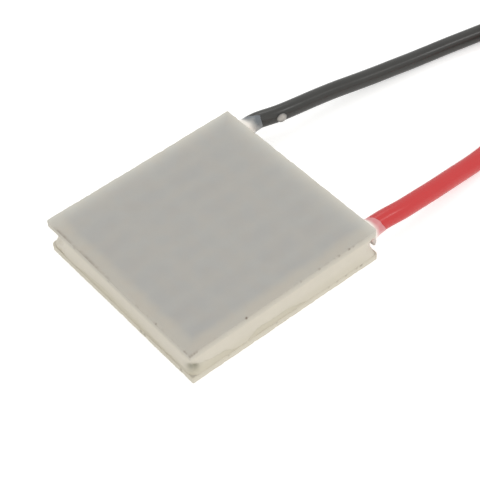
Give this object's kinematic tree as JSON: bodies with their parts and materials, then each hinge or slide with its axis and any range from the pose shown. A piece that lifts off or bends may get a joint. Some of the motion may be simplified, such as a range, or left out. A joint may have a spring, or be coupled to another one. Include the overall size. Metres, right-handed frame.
{
  "type": "thermoelectric cooling module",
  "caption": "Square thermoelectric cooling module: pellet array between two ceramic plates, silicone sealed, with a black and a red lead that end in a tied coil.",
  "frame": {"origin": "centre of the cold plate's outer face, which rests on the surface", "axes": "+Z from the cold plate to the hot plate, +X towards the side where the leads leave"},
  "size_m": [0.0655, 0.0294, 0.004],
  "materials": {
    "alumina": "as fired alumina ceramic, matt",
    "silicone": "cured silicone sealant, off white",
    "p_telluride": "diced bismuth telluride, p type",
    "n_telluride": "diced bismuth telluride, n type",
    "copper": "plain copper",
    "solder": "reflowed solder",
    "tinned_copper": "tinned copper strands",
    "clear_glue": "translucent glue",
    "black_pvc": "extruded PVC, black, satin",
    "red_pvc": "extruded PVC, red, satin",
    "white_nylon": "moulded nylon, natural"
  },
  "bodies": {
    "root": {"hot_side_ceramic": "alumina", "cold_side_ceramic": "alumina", "perimeter_sealant": "silicone", "p_pellets_row_1": "p_telluride", "n_pellets_row_1": "n_telluride", "hot_tabs_row_1": "copper", "cold_tabs_row_1": "copper", "p_pellets_row_2": "p_telluride", "n_pellets_row_2": "n_telluride", "hot_tabs_row_2": "copper", "cold_tabs_row_2": "copper", "p_pellets_row_3": "p_telluride", "n_pellets_row_3": "n_telluride", "hot_tabs_row_3": "copper", "cold_tabs_row_3": "copper", "p_pellets_row_4": "p_telluride", "n_pellets_row_4": "n_telluride", "hot_tabs_row_4": "copper", "cold_tabs_row_4": "copper", "p_pellets_row_5": "p_telluride", "n_pellets_row_5": "n_telluride", "hot_tabs_row_5": "copper", "cold_tabs_row_5": "copper", "p_pellets_row_6": "p_telluride", "n_pellets_row_6": "n_telluride", "hot_tabs_row_6": "copper", "cold_tabs_row_6": "copper", "p_pellets_row_7": "p_telluride", "n_pellets_row_7": "n_telluride", "hot_tabs_row_7": "copper", "cold_tabs_row_7": "copper", "p_pellets_row_8": "p_telluride", "n_pellets_row_8": "n_telluride", "hot_tabs_row_8": "copper", "cold_tabs_row_8": "copper", "cold_turn_tabs": "copper", "black_lead_pad": "copper", "red_lead_pad": "copper", "hot_side_solder": "solder", "cold_side_solder": "solder", "black_solder_joint": "solder", "red_solder_joint": "solder", "black_conductor": "tinned_copper", "red_conductor": "tinned_copper", "black_lead_tip": "tinned_copper", "red_lead_tip": "tinned_copper", "black_exit_fillet": "clear_glue", "red_exit_fillet": "clear_glue", "black_lead": "black_pvc", "lead_coil": "black_pvc", "red_lead": "red_pvc", "coil_tie": "white_nylon"}
  },
  "joints": []
}
